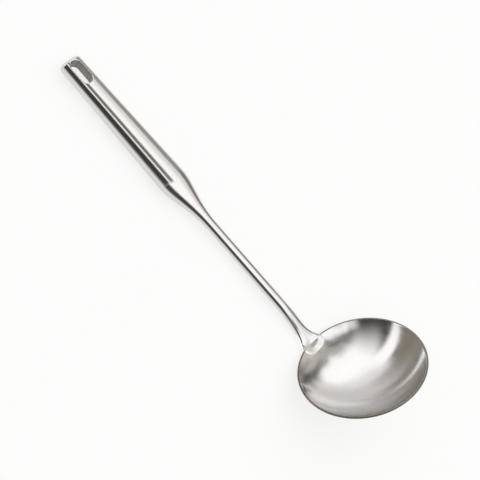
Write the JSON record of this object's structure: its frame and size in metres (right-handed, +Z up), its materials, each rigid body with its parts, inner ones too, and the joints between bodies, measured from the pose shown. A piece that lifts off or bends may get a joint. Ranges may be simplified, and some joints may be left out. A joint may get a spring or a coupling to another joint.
{
  "type": "one-piece ladle",
  "caption": "One-piece steel ladle with a round shallow bowl, flared neck, slim shank and thick tapering grip with a hanging slot.",
  "frame": {"origin": "middle of the bounding box's bottom face: the table that the ladle lies on, halfway along its length", "axes": "+X along the handle from the bowl to the grip's end, +Z up from the table, Y across the ladle"},
  "size_m": [0.3579, 0.1, 0.0783],
  "materials": {
    "stainless": "satin steel, finely brushed, brighter on the handle"
  },
  "bodies": {
    "root": {"ladle": "stainless"}
  },
  "joints": []
}
